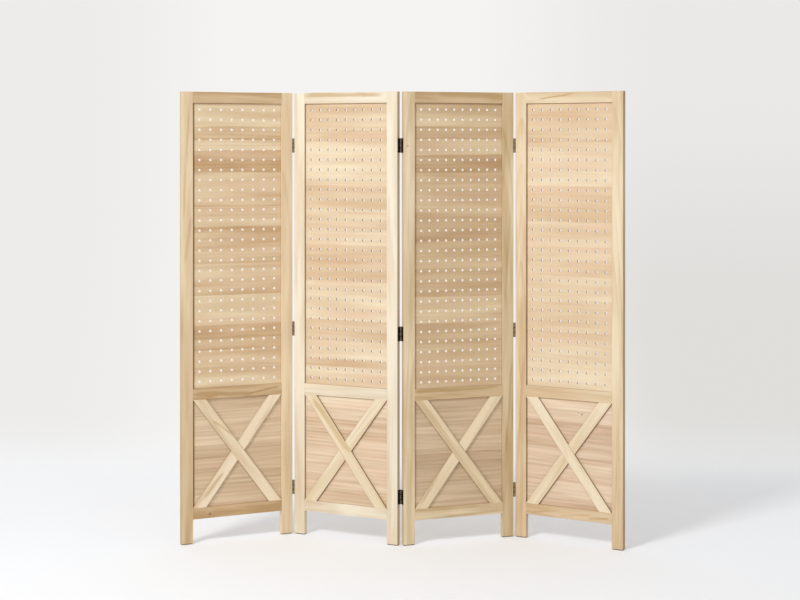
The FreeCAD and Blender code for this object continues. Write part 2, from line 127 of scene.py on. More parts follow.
class Graph:
    """A node tree that is filled by method calls."""

    def __init__(self, tree: bpy.types.NodeTree) -> None:
        """Empties the tree."""
        self.tree = tree
        tree.nodes.clear()

    def node(self, kind: str, inputs: dict | None = None, **settings: object) -> Node:
        """Adds a node.

        Args:
            kind: The node's type name.
            inputs: Values, tones, nodes or links of its sockets, by name or number.
            settings: Its own properties, set first; "stops" are a ramp's (place, level) pairs.

        Returns:
            The new node.
        """
        made = self.tree.nodes.new(kind)
        for name, value in settings.items():
            if name == "stops":
                self.set_stops(made, value)
            else:
                setattr(made, name, value)
        for key, value in (inputs or {}).items():
            self.fill(made.inputs[key], value)
        return made

    def fill(self, socket: Link, source: object) -> None:
        """Gives a socket a number, a tone, a link, or the first output of a node.

        Args:
            socket: The socket.
            source: What it gets.
        """
        if isinstance(source, Tone):
            source = source.linear()
        elif isinstance(source, Value):
            source = source.socket
        elif isinstance(source, Node):
            source = source.outputs[0]
        if isinstance(source, Link):
            self.tree.links.new(source, socket)
        else:
            socket.default_value = source

    @staticmethod
    def set_stops(ramp: Node, stops: Sequence[tuple[float, float]]) -> None:
        """Gives a ramp its stops.

        Args:
            ramp: The ramp's node.
            stops: (place, level) pairs from left to right.
        """
        elements = ramp.color_ramp.elements
        elements.remove(elements[-1])
        for index, (place, level) in enumerate(stops):
            stop = elements.new(place) if index else elements[0]
            stop.position = place
            stop.color = (level, level, level, 1.0)

    def value(self, kind: str, inputs: dict | None = None, output: str | int = 0,
              **settings: object) -> Value:
        """Adds a node and wraps one of its number outputs.

        Args:
            kind: The node's type name.
            inputs: What its sockets take.
            output: The output that is wrapped.
            settings: Its own properties.

        Returns:
            The wrapped output.
        """
        return Value(self, self.node(kind, inputs, **settings).outputs[output])

    def math(self, operation: str, *terms: "Value | float") -> Value:
        """Adds a Math node on one to three terms."""
        return self.value("ShaderNodeMath", dict(enumerate(terms)), operation=operation)

    def clamp(self, term: Value) -> Value:
        """Holds a value between 0 and 1."""
        return self.value("ShaderNodeMath", {0: term, 1: 0.0}, operation="ADD", use_clamp=True)

    def smooth(self, term: Value, low: float, high: float) -> Value:
        """Rises smoothly from 0 at one value to 1 at another."""
        return self.value("ShaderNodeMapRange", {"Value": term, "From Min": low, "From Max": high},
                          interpolation_type="SMOOTHSTEP")

    def vector_math(self, operation: str, *terms: object) -> Link:
        """Adds a Vector Math node and returns its vector."""
        return self.node("ShaderNodeVectorMath", dict(enumerate(terms)), operation=operation).outputs[0]

    def distance(self, first: Link, second: Triple) -> Value:
        """How far a position is from a place."""
        return self.value("ShaderNodeVectorMath", {0: first, 1: second}, "Value", operation="DISTANCE")

    def moved(self, place: Link, location: Triple, rotation: Triple) -> Link:
        """Turns a position and then moves it."""
        inputs = {"Vector": place, "Location": location, "Rotation": rotation}
        return self.node("ShaderNodeMapping", inputs).outputs[0]

    def split(self, place: Link) -> tuple[Value, ...]:
        """The three parts of a position."""
        return tuple(Value(self, part) for part in self.node("ShaderNodeSeparateXYZ", {0: place}).outputs)

    def join(self, x: object = 0.0, y: object = 0.0, z: object = 0.0) -> Link:
        """A position from its three parts."""
        return self.node("ShaderNodeCombineXYZ", {0: x, 1: y, 2: z}).outputs[0]

    def noise(self, place: Link, stretch: Triple, detail: float = 2.0, roughness: float = 0.5) -> Value:
        """Noise whose scale differs by direction.

        Args:
            place: The position that it reads.
            stretch: Repeats to the metre along each axis.
            detail: Octaves.
            roughness: Share of each finer octave.

        Returns:
            A value round 0.5.
        """
        scaled = self.vector_math("MULTIPLY", place, stretch)
        return self.value("ShaderNodeTexNoise", {
            "Vector": scaled, "Scale": 1.0, "Detail": detail, "Roughness": roughness,
        }, noise_dimensions="3D")

    def mix(self, factor: Value, first: object, second: object) -> Link:
        """Mixes two colours.

        Args:
            factor: 0 gives the first colour, 1 the second.
            first: A tone or a link.
            second: A tone or a link.

        Returns:
            The mixed colour's socket.
        """
        made = self.node("ShaderNodeMix", data_type="RGBA")
        sockets = {socket.identifier: socket for socket in (*made.inputs, *made.outputs)}
        for name, source in (("Factor_Float", factor), ("A_Color", first), ("B_Color", second)):
            self.fill(sockets[name], source)
        return sockets["Result_Color"]

    def bump(self, height: Value, depth: float, strength: float) -> Link:
        """Bends the normal by a height from 0 to 1, where 1 stands `depth` metres above 0."""
        inputs = {"Strength": strength, "Distance": depth, "Height": height}
        return self.node("ShaderNodeBump", inputs).outputs[0]


class Surface(Graph):
    """The graph of a new material, with `place`, the position in the row frame."""

    def __init__(self, name: str) -> None:
        """Makes the material.

        Args:
            name: The material's name.
        """
        self.material = bpy.data.materials.new(name)
        self.material.use_nodes = True
        super().__init__(self.material.node_tree)
        self.place = self.node("ShaderNodeTexCoord").outputs["Object"]

    def finished(self, inputs: dict, kind: str = "ShaderNodeBsdfPrincipled") -> Material:
        """Ends the graph in a shader.

        Args:
            inputs: What the shader's sockets take.
            kind: The shader's type name.

        Returns:
            The material.
        """
        self.node("ShaderNodeOutputMaterial", {"Surface": self.node(kind, inputs)})
        return self.material


# Where the panels stand


def corners(places: Iterable[Vector]) -> tuple[Vector, Vector]:
    """Lowest and highest corner of some places."""
    parts = list(zip(*places))
    return Vector(map(min, parts)), Vector(map(max, parts))


@dataclass(frozen=True)
class PanelFrame:
    """Where one panel stands: the place of its left front edge and its turn."""

    number: int
    corner: Vector
    turn: float

    @classmethod
    def of(cls, number: int) -> "PanelFrame":
        """Reads a panel's place from the mount on its board and from its left stile.

        Args:
            number: The panel, from 1 at the left to 4.

        Returns:
            The panel's frame.
        """
        axis = MOUNTS[f"peg_hole_{number}"]["axis"]
        turn = math.atan2(axis[0], -axis[1])
        back = Matrix.Rotation(-turn, 3, "Z")
        low, _ = corners(back @ v.co for v in frame["nodes"][f"left_stile_{number}"].data.vertices)
        return cls(number, Matrix.Rotation(turn, 3, "Z") @ Vector((low.x, low.y, 0.0)), turn)

    @property
    def matrix(self) -> Matrix:
        """From the panel's frame to the row frame."""
        return Matrix.Translation(self.corner) @ Matrix.Rotation(self.turn, 4, "Z")

    def extent(self, node: str) -> tuple[Vector, Vector]:
        """Lowest and highest corner of a CAD node in the panel's frame."""
        home = self.matrix.inverted()
        return corners(home @ v.co for v in frame["nodes"][node].data.vertices)


# Wood


class GrainRun(Enum):
    """The way the grain of a piece runs on the front of its panel."""

    UPRIGHT = "upright"
    LEVEL = "level"
    RISING = "rising"
    FALLING = "falling"


@dataclass(frozen=True)
class Knot:
    """A knot in a piece, in millimetres of the panel's frame."""

    across: float
    height: float
    radius: float
    strength: float


@dataclass(frozen=True)
class Streak:
    """A dark streak between two places, in millimetres of the panel's frame: a narrow one is heartwood, and a wide
    one makes a timber darker towards one end.
    """

    start_across: float
    start_height: float
    end_across: float
    end_height: float
    width: float
    strength: float


@dataclass(frozen=True)
class PaintedShadeLine:
    """A painted shade line: dark colour that stands in for the shadow where a piece meets its neighbour.

    It runs along one side of a slat, along the outer side of a stile, or along an edge of the opening that a board
    fills.
    It stays away from the middle of a slat, as far as the gap says.
    """

    level: bool
    place: float
    side: float
    width: float
    strength: float
    gap: float = 0.0


@dataclass(frozen=True)
class Plank:
    """One plank of a glued-up board: its height and the shade of its top and bottom.

    The seam is the line along its lower edge, dark above 0 and pale below.
    """

    height: float
    top_shade: float
    bottom_shade: float
    seam: float = 0.0


@dataclass(frozen=True)
class Cut:
    """How a piece was sawn: where the heart of the log lay, and how far it ran askew."""

    heart: float
    bury: float
    dive: float

    @classmethod
    def of(cls, seed: int) -> "Cut":
        """A cut of its own for each seed.

        Args:
            seed: Any number.

        Returns:
            The cut.
        """
        chance = random.Random(seed)
        side = chance.choice((-1.0, 1.0))
        return cls(
            heart=side * chance.uniform(2, 34) * MM,
            bury=chance.uniform(12, 50) * MM,
            dive=chance.uniform(0.03, 0.09),
        )


@dataclass(frozen=True)
class Stock:
    """The look of one kind of timber: its colours and its figure."""

    pale: Tone
    deep: Tone
    blush: Tone
    ring_spacing: float = 14.0 * MM
    ring_share: float = 0.36
    ring_gate: Band = (0.38, 0.72)
    streak_share: float = 0.24
    streaks_to_metre: float = 46.0
    drift_share: float = 0.70
    sway: float = 10.0 * MM
    quartered: bool = False


@dataclass(frozen=True)
class WoodFinish:
    """Bare planed wood: growth rings, fibre streaks, slow drift of tone, marks and knots, and painted shade lines
    along its edges.
    """

    name: str
    panel: PanelFrame
    stock: Stock
    run: GrainRun
    seed: int
    low: Vector
    high: Vector
    shade: float
    figure_share: float
    knots: tuple[Knot, ...]
    streaks: tuple[Streak, ...]
    painted_shade_lines: tuple[PaintedShadeLine, ...]
    planks: tuple[Plank, ...]
    centre: Triple = (0.0, 0.0, 0.0)
    slat_slope: float = 0.0

    def run_angle(self) -> float:
        """Turn of the grain from level, in the plane of the panel."""
        return {
            GrainRun.UPRIGHT: math.pi / 2,
            GrainRun.LEVEL: 0.0,
            GrainRun.RISING: self.slat_slope,
            GrainRun.FALLING: -self.slat_slope,
        }[self.run]

    def material(self) -> Material:
        """Builds the material."""
        return WoodSurface(self).build()


class WoodSurface(Surface):
    """The nodes of one piece of wood.

    `local` is the position in the panel's frame, and `grain` the one with X along the grain
    and Z across it. `depth` goes from 0 where the wood is pale to 1 where it is deep.
    """

    # How far along its grain the figure of each piece is moved on from the last
    SHIFT = 1.37
    # How far into the log the heart of a quartered board lies
    QUARTER_HEART = 400.0 * MM
    # Noise in the panel's frame, in repeats to the metre, and how far it moves a seam or a streak
    WAVE = (4.0, 1.0, 3.0)
    WAVE_HEIGHT = 6 * MM
    WAVER = (9.0, 9.0, 9.0)
    WAVER_WIDTH = 12 * MM
    # How far the figure of a plank may be moved, along and across the grain
    PLANK_SHIFT = (7.0, 0.12)
    # Noise: repeats to the metre along, through and across the grain
    WARP = (1.5, 5.0, 6.0)
    DRIFT = (2.4, 26.0, 26.0)
    BLUSH = (2.2, 9.0, 16.0)
    FIBRE = (22.0, 1400.0, 1400.0)
    # How fast the strength of a ring changes, along the grain and from ring to ring
    UNEVEN = (0.8, 30.0)
    # Values of a noise, or of the way from ring to ring, between which a mark rises or ends
    RING_RISE = (0.35, 0.92)
    RING_END = (0.93, 1.0)
    STREAK_BAND = (0.3, 0.75)
    DRIFT_BAND = (0.28, 0.72)
    BLUSH_BAND = (0.45, 0.75)
    # Shares of a streak's length where its ends fade, and of its width where its sides do
    STREAK_START = (0.0, 0.18)
    STREAK_STOP = (0.82, 1.0)
    STREAK_SIDE = (0.25, 1.0)
    # Radii of a knot over which it fades, over which it bends the grain, and how far it does
    KNOT_BAND = (0.4, 1.3)
    KNOT_REACH = (0.0, 5.0)
    KNOT_PUSH = 1.2
    # How much each part of the figure adds, and the middle of the streaks
    STREAK_MIDDLE = 0.4
    FIBRE_SHARE = 0.14
    BLUSH_SHARE = 0.55
    SEAM_SHARE = 0.9
    # Softness of a plank's edge and width of a seam, as shares of the board's height
    BLUR = 0.0006
    SEAM = 0.0012
    KNOT_TONE = Tone(104, 72, 44)
    # The colour of the painted shade lines
    PAINTED_SHADE_TONE = Tone(116, 76, 32)

    def __init__(self, finish: WoodFinish) -> None:
        """Finds both positions.

        Args:
            finish: The look of the piece.
        """
        super().__init__(finish.name)
        self.finish = finish
        self.shift = finish.seed * self.SHIFT
        home = finish.panel.matrix.inverted().translation
        self.local = self.moved(self.place, tuple(home), (0.0, 0.0, -finish.panel.turn))
        middle = self.vector_math("SUBTRACT", self.local, finish.centre)
        self.grain = self.moved(middle, (self.shift, 0.0, 0.0), (0.0, finish.run_angle(), 0.0))
        self.depth: Value | float = finish.shade

    def build(self) -> Material:
        """Adds up the figure and the marks, and lays the painted shade lines on top.

        Returns:
            The material.
        """
        finish, stock, share = self.finish, self.finish.stock, self.finish.figure_share
        # Painted shade along the edges: a mask that the colour takes last
        edges = self.painted_shade_mark()
        seam = self.lay_planks() if finish.planks else None
        knots = self.knot_mark()
        rings, streaks, drift, fibre = self.figure()
        figure = (rings * stock.ring_share + (streaks - self.STREAK_MIDDLE) * stock.streak_share) * share
        drift = (drift - 0.5) * (stock.drift_share * share)
        self.depth = figure + self.depth + drift + (fibre - 0.5) * self.FIBRE_SHARE
        if seam is not None:
            self.depth = self.depth + (seam - 0.5) * self.SEAM_SHARE
        if finish.streaks:
            self.run_streaks()
        colour = self.mix(self.clamp(self.depth), stock.pale, stock.deep)
        warm = self.smooth(self.noise(self.grain, self.BLUSH), *self.BLUSH_BAND) * self.BLUSH_SHARE
        colour = self.mix(warm, colour, stock.blush)
        # Knots are the wood's own colour; the edge mask mixes in painted shade
        for mask, tone in ((knots, self.KNOT_TONE), (edges, self.PAINTED_SHADE_TONE)):
            if mask is not None:
                colour = self.mix(mask, colour, tone)
        return self.finished({
            "Base Color": colour,
            "Roughness": fibre * 0.16 + 0.50,
            "Normal": self.bump(rings * 0.4 + fibre * 0.6, 0.12 * MM, 0.35),
            "Specular IOR Level": 0.32,
        })

    def plank_stops(self) -> tuple[list, list, list]:
        """Ramp stops from the bottom of the board up.

        Returns:
            The stops of the shade, those of the plank's number and those of the seams.
        """
        planks = self.finish.planks
        total = sum(plank.height for plank in planks)
        shades, numbers, seams = [], [], [(0.0, 0.5)]
        base = 0.0
        for index, plank in enumerate(reversed(planks)):
            top = base + plank.height / total
            shades += [(base + self.BLUR, plank.bottom_shade), (top - self.BLUR, plank.top_shade)]
            numbers.append((base, (index * 7 + self.finish.seed * 3) % 17 / 17))
            if plank.seam and base:
                level = 0.5 + plank.seam / 2
                seams += [(base - self.SEAM, 0.5), (base, level), (base + self.SEAM, level),
                          (base + 3 * self.SEAM, 0.5)]
            base = top
        return shades, numbers, seams

    def lay_planks(self) -> Value:
        """Shades a board plank by plank and moves the figure on from each to the next.

        Returns:
            The mark of the seams, 0.5 where there is none.
        """
        low, high = self.finish.low.z, self.finish.high.z
        wave = self.noise(self.local, self.WAVE, 1.0) * self.WAVE_HEIGHT - self.WAVE_HEIGHT / 2
        share = (self.split(self.local)[2] + wave - low) / (high - low)
        shade, number, seam = (
            self.value("ShaderNodeValToRGB", {"Fac": share}, stops=stops) for stops in self.plank_stops()
        )
        number.socket.node.color_ramp.interpolation = "CONSTANT"
        self.depth = shade
        along, across = (number * shift for shift in self.PLANK_SHIFT)
        self.grain = self.vector_math("ADD", self.grain, self.join(along, 0.0, across))
        return seam

    def painted_shade_mark(self) -> Value | None:
        """Marks the painted shade lines along the piece's edges.

        Returns:
            The mask of the lines, or None.
        """
        slanted = self.finish.run in (GrainRun.RISING, GrainRun.FALLING)
        across, _, height = self.split(self.grain if slanted else self.local)
        masks = []
        for edge in self.finish.painted_shade_lines:
            inset = ((height if edge.level else across) - edge.place) * edge.side
            line = self.smooth(inset, -edge.width, -edge.width * 0.3) * edge.strength
            if edge.gap:
                line = line * self.smooth(across.size(), edge.gap * 0.8, edge.gap)
            masks.append(line)
        return reduce(Value.most, masks) if masks else None

    def knot_mark(self) -> Value | None:
        """Marks the knots and bends the grain round them.

        Returns:
            The mask of the knots, or None.
        """
        masks = []
        for knot in self.finish.knots:
            flat = self.vector_math("MULTIPLY", self.local, (1.0, 0.0, 1.0))
            reach = self.distance(flat, (knot.across * MM, 0.0, knot.height * MM)) / (knot.radius * MM)
            push = (1.0 - self.smooth(reach, *self.KNOT_REACH)) * (knot.radius * MM * self.KNOT_PUSH)
            self.grain = self.vector_math("ADD", self.grain, self.join(z=push))
            masks.append((1.0 - self.smooth(reach, *self.KNOT_BAND)) * knot.strength)
        return reduce(Value.most, masks) if masks else None

    def run_streaks(self) -> None:
        """Deepens the wood along its streaks, the narrow ones of heartwood and the wide ones darker towards one
        end.
        """
        across, _, height = self.split(self.local)
        waver = (self.noise(self.local, self.WAVER, 3.0) - 0.5) * self.WAVER_WIDTH
        for streak in self.finish.streaks:
            x, z = streak.start_across * MM, streak.start_height * MM
            wide, high = streak.end_across * MM - x, streak.end_height * MM - z
            length = math.hypot(wide, high)
            run_x, run_z = wide / length, high / length
            along = ((across - x) * run_x + (height - z) * run_z) / length
            aside = (across - x) * run_z - (height - z) * run_x + waver
            ends = self.smooth(along, *self.STREAK_START) * (1.0 - self.smooth(along, *self.STREAK_STOP))
            body = 1.0 - self.smooth(aside.size() / (streak.width * MM), *self.STREAK_SIDE)
            self.depth = self.depth + body * ends * streak.strength

    def figure(self) -> tuple[Value, Value, Value, Value]:
        """The figure of the wood along the grain.

        Returns:
            Rings, streaks, slow drift and fine fibre, each from 0 to 1.
        """
        stock, cut = self.finish.stock, Cut.of(self.finish.seed)
        along, deep, across = self.split(self.grain)
        warp = self.noise(self.grain, self.WARP) - 0.5
        heart = cut.heart + (self.QUARTER_HEART if stock.quartered else 0.0)
        reach = across + warp * (stock.sway * 3) + heart
        under = deep + (along - self.shift) * cut.dive + cut.bury
        radius = self.math("SQRT", reach * reach + under * under)
        uneven = self.join(along * self.UNEVEN[0], 0.0, radius * self.UNEVEN[1])
        strength = self.noise(uneven, (1.0, 1.0, 1.0), 1.0)
        ring = self.math("FRACT", (radius + strength * stock.ring_spacing) / stock.ring_spacing)
        rings = self.smooth(ring, *self.RING_RISE) * (1.0 - self.smooth(ring, *self.RING_END))
        rings = rings * self.smooth(strength, *stock.ring_gate)
        fine = stock.streaks_to_metre
        streaks = self.smooth(self.noise(self.grain, (1.8, fine, fine), 3.0, 0.6), *self.STREAK_BAND)
        drift = self.smooth(self.noise(self.grain, self.DRIFT), *self.DRIFT_BAND)
        return rings, streaks, drift, self.noise(self.grain, self.FIBRE, 2.0, 0.65)


# Other finishes


@dataclass(frozen=True)
class FuzzyFinish:
    """A soft rough surface: the walls inside a hole, painted pale as if lit on some panels and dark as if in shade
    on others, or the pressed felt of a pad.
    """

    name: str
    body: Tone
    fleck: Tone
    stretch: Triple = (900.0, 900.0, 900.0)
    detail: float = 3.0
    detail_share: float = 0.6
    fleck_band: Band = (0.35, 0.7)
    roughness: float = 0.8
    relief: float = 0.4
    specular: float = 0.2

    def material(self) -> Material:
        """Builds the material.

        Returns:
            The material.
        """
        graph = Surface(self.name)
        fuzz = graph.noise(graph.place, self.stretch, self.detail, self.detail_share)
        return graph.finished({
            "Base Color": graph.mix(graph.smooth(fuzz, *self.fleck_band), self.body, self.fleck),
            "Roughness": fuzz * 0.1 + self.roughness,
            "Normal": graph.bump(fuzz, 0.2 * MM, self.relief),
            "Specular IOR Level": self.specular,
        })


@dataclass(frozen=True)
class MetalFinish:
    """Dark bronzed steel with rubbed patches, a painted grey highlight on the barrels, and dark joints between the
    knuckles.
    """

    name: str
    body: Tone
    rubbed: Tone
    roughness: float
    barrel_highlight: Tone | None = None
    axis: Triple = (0.0, 0.0, 0.0)
    barrel_radius: float = 3.7 * MM
    joints: tuple[float, ...] = ()
    joint_width: float = 1.8 * MM

    def material(self) -> Material:
        """Builds the material.

        Returns:
            The material.
        """
        graph = Surface(self.name)
        cloud = graph.noise(graph.place, (90.0, 90.0, 90.0), 3.0)
        grit = graph.noise(graph.place, (1800.0, 1800.0, 1800.0))
        colour = graph.mix(graph.smooth(cloud, 0.48, 0.72), self.body, self.rubbed)
        # A painted highlight: the barrels are grey where the lamp would glint on them
        if self.barrel_highlight is not None:
            colour = graph.mix(self.on_barrel_highlight(graph), colour, self.barrel_highlight)
        return graph.finished({
            "Base Color": colour,
            "Metallic": 0.85,
            "Roughness": grit * 0.12 + cloud * 0.1 + self.roughness,
            "Normal": graph.bump(grit, 0.03 * MM, 0.3),
        })

    def on_barrel_highlight(self, graph: Surface) -> Value:
        """Marks the barrels, where the grey highlight is painted.

        Args:
            graph: The material's graph.

        Returns:
            1 on a barrel and 0 on the leaves and in the joints.
        """
        flat = graph.vector_math("MULTIPLY", graph.place, (1.0, 1.0, 0.0))
        mark = 1.0 - graph.smooth(graph.distance(flat, self.axis) / self.barrel_radius, 0.95, 1.05)
        height = graph.split(graph.place)[2]
        for joint in self.joints:
            mark = mark * graph.smooth((height - joint).size() / self.joint_width, 0.6, 1.2)
        return mark


# Mesh helpers


def new_object(name: str, data: bpy.types.ID) -> Piece:
    """Links a new object to the scene.

    Args:
        name: The object's name.
        data: Its mesh, lamp or camera.

    Returns:
        The object.
    """
    made = bpy.data.objects.new(name, data)
    bpy.context.scene.collection.objects.link(made)
    return made


def dress(piece: Piece, material: Material) -> None:
    """Gives a piece a material."""
    piece.data.materials.clear()
    piece.data.materials.append(material)


def mesh_from(name: str, build: Callable[[Shape], None], limit: float) -> Mesh:
    """Makes a mesh with a bmesh function, with its faces outward.

    Args:
        name: The mesh's name.
        build: Fills the bmesh.
        limit: Edges sharper than this stay sharp, in degrees.

    Returns:
        The mesh.
    """
    shape = bmesh.new()
    build(shape)
    bmesh.ops.remove_doubles(shape, verts=shape.verts, dist=0.5e-6)
    bmesh.ops.recalc_face_normals(shape, faces=shape.faces)
    shape.normal_update()
    for face in shape.faces:
        face.smooth = True
    for edge in shape.edges:
        edge.smooth = len(edge.link_faces) == 2 and edge.calc_face_angle(0.0) < math.radians(limit)
    mesh = bpy.data.meshes.new(name)
    shape.to_mesh(mesh)
    shape.free()
    return mesh


def lathe(shape: Shape, profile: Sequence[tuple[float, float]], steps: int) -> None:
    """Turns a profile about Z.

    Args:
        shape: Takes the faces.
        profile: (radius, height) pairs; a radius of 0 closes an end.
        steps: Flat sides round the turn.
    """
    angles = [2 * math.pi * step / steps for step in range(steps)]
    rows = []
    for radius, height in profile:
        if radius == 0:
            rows.append([shape.verts.new((0.0, 0.0, height))] * steps)
        else:
            rows.append([
                shape.verts.new((radius * math.cos(a), radius * math.sin(a), height)) for a in angles
            ])
    for lower, upper in zip(rows, rows[1:]):
        for step in range(steps):
            after = (step + 1) % steps
            unique = list(dict.fromkeys((lower[step], lower[after], upper[after], upper[step])))
            if len(unique) > 2:
                shape.faces.new(unique)


class GeometryTree(Graph):
    """A Geometry Nodes group with named inputs, put on an object as a modifier."""

    def __init__(self, name: str) -> None:
        """Makes an empty group with a geometry input and output.

        Args:
            name: The group's name.
        """
        super().__init__(bpy.data.node_groups.new(name, "GeometryNodeTree"))
        self.names: dict[str, str] = {}
        self.tree.interface.new_socket("Geometry", in_out="OUTPUT", socket_type="NodeSocketGeometry")
        self.source = self.node("NodeGroupInput")
        self.inputs("Geometry", "Geometry")

    def inputs(self, kind: str, *names: str) -> list[Link]:
        """Adds named inputs of one kind.

        Args:
            kind: The kind of socket, such as Float.
            names: The inputs' names.

        Returns:
            Their links inside the group.
        """
        for name in names:
            made = self.tree.interface.new_socket(name, in_out="INPUT", socket_type=f"NodeSocket{kind}")
            self.names[name] = made.identifier
        return [self.source.outputs[name] for name in names]

    def joined(self, *parts: Node) -> Node:
        """Joins the geometry of some nodes.

        Args:
            parts: The nodes, in the order of their links.

        Returns:
            The joining node.
        """
        made = self.node("GeometryNodeJoinGeometry")
        for part in parts:
            self.fill(made.inputs[0], part)
        return made

    def end(self, geometry: Node) -> None:
        """Ends the group in Realize Instances and Set Material.

        Args:
            geometry: The node whose geometry the group gives out.
        """
        solid = self.node("GeometryNodeRealizeInstances", {"Geometry": geometry})
        material, = self.inputs("Material", "Material")
        dressed = self.node("GeometryNodeSetMaterial", {"Geometry": solid, "Material": material})
        self.node("NodeGroupOutput", {0: dressed})

    def apply(self, host: Piece, values: dict[str, object]) -> Mesh:
        """Runs the group on an object.

        Args:
            host: The object that carries the modifier while the group runs.
            values: The named inputs.

        Returns:
            The result as a plain mesh; the host is removed.
        """
        modifier = host.modifiers.new("nodes", "NODES")
        modifier.node_group = self.tree
        for name, value in values.items():
            modifier[self.names[name]] = value
        bpy.context.view_layer.update()
        graph = bpy.context.evaluated_depsgraph_get()
        mesh = bpy.data.meshes.new_from_object(host.evaluated_get(graph))
        host.modifiers.clear()
        bpy.data.objects.remove(host)
        return mesh


def make_repeat_tree() -> GeometryTree:
    """A group that sets a piece out on the points of its host.

    Returns:
        The group.
    """
    tree = GeometryTree("set_out")
    piece, = tree.inputs("Object", "Piece")
    shape = tree.node("GeometryNodeObjectInfo", {"Object": piece}, transform_space="ORIGINAL")
    tree.end(tree.node("GeometryNodeInstanceOnPoints", {
        "Points": tree.source.outputs["Geometry"], "Instance": shape.outputs["Geometry"],
    }))
    return tree


def make_perforation_tree() -> GeometryTree:
    """A group that makes a board, face down on XY, with a field of round holes.

    Returns:
        The group.
    """
    tree = GeometryTree("perforated_board")
    width, height, thickness, field_width, field_height, radius = tree.inputs(
        "Float", "Width", "Height", "Thickness", "Field Width", "Field Height", "Hole Radius")
    columns, rows, sides = tree.inputs("Int", "Columns", "Rows", "Hole Sides")
    edge = tree.node("GeometryNodeCurvePrimitiveQuadrilateral", {"Width": width, "Height": height},
                     mode="RECTANGLE")
    places = tree.node("GeometryNodeMeshGrid", {
        "Size X": field_width, "Size Y": field_height, "Vertices X": columns, "Vertices Y": rows,
    })
    hole = tree.node("GeometryNodeCurvePrimitiveCircle", {"Resolution": sides, "Radius": radius},
                     mode="RADIUS")
    holes = tree.node("GeometryNodeInstanceOnPoints", {"Points": places, "Instance": hole})
    flat = tree.node("GeometryNodeRealizeInstances", {"Geometry": tree.joined(edge, holes)})
    face = tree.node("GeometryNodeFillCurve", {"Curve": flat})
    block = tree.node("GeometryNodeExtrudeMesh", {
        "Mesh": face, "Offset": tree.join(z=thickness), "Offset Scale": 1.0, "Individual": False,
    }, mode="FACES")
    under = tree.node("GeometryNodeFlipFaces", {"Mesh": face})
    tree.end(tree.node("GeometryNodeMergeByDistance", {
        "Geometry": tree.joined(block, under), "Distance": 0.01 * MM,
    }))
    return tree


# Panels


def stocks(*rows: Sequence[Triple], **look: object) -> dict[int, Stock]:
    """The stock of the four panels.

    Args:
        rows: Pale, deep and blushed tone of each panel.
        look: What all four share.

    Returns:
        The stocks by the panel's number.
    """
    return {number: Stock(*(Tone(*tone) for tone in row), **look) for number, row in enumerate(rows, 1)}


FRAME_STOCK = stocks(
    ((240, 219, 184), (186, 152, 108), (226, 196, 159)),
    ((234, 224, 202), (202, 177, 140), (230, 210, 181)),
    ((234, 216, 182), (184, 154, 108), (221, 194, 157)),
    ((232, 215, 184), (196, 164, 122), (224, 196, 160)),
)
PEG_STOCK = stocks(
    ((238, 219, 185), (190, 152, 108), (221, 189, 156)),
    ((232, 216, 186), (198, 162, 124), (222, 190, 159)),
    ((226, 204, 168), (180, 146, 106), (206, 174, 142)),
    ((234, 218, 188), (206, 172, 134), (226, 194, 164)),
    ring_share=0.30,
)
LOWER_STOCK = stocks(
    ((235, 213, 180), (187, 157, 123), (217, 186, 156)),
    ((240, 222, 194), (192, 158, 124), (224, 192, 162)),
    ((229, 206, 174), (175, 148, 114), (209, 179, 149)),
    ((240, 220, 194), (188, 154, 122), (220, 187, 159)),
    ring_spacing=13 * MM, ring_share=0.20, ring_gate=(0.30, 0.62), streak_share=0.34,
    streaks_to_metre=100.0, drift_share=0.34, sway=4 * MM, quartered=True,
)
SLAT_STOCK = stocks(
    ((242, 224, 194), (202, 172, 128), (232, 208, 174)),
    ((233, 219, 191), (208, 182, 140), (226, 204, 170)),
    ((238, 219, 186), (198, 170, 128), (226, 201, 168)),
    ((234, 219, 191), (206, 178, 136), (227, 204, 170)),
    ring_share=0.4,
)

# The timbers and the lower board of a panel
TIMBERS = (
    ("left_stile", FRAME_STOCK, GrainRun.UPRIGHT),
    ("right_stile", FRAME_STOCK, GrainRun.UPRIGHT),
    ("top_rail", FRAME_STOCK, GrainRun.LEVEL),
    ("middle_rail", FRAME_STOCK, GrainRun.LEVEL),
    ("bottom_rail", FRAME_STOCK, GrainRun.LEVEL),
    ("brace_over", SLAT_STOCK, GrainRun.FALLING),
    ("brace_under", SLAT_STOCK, GrainRun.RISING),
    ("lower_board", LOWER_STOCK, GrainRun.LEVEL),
)

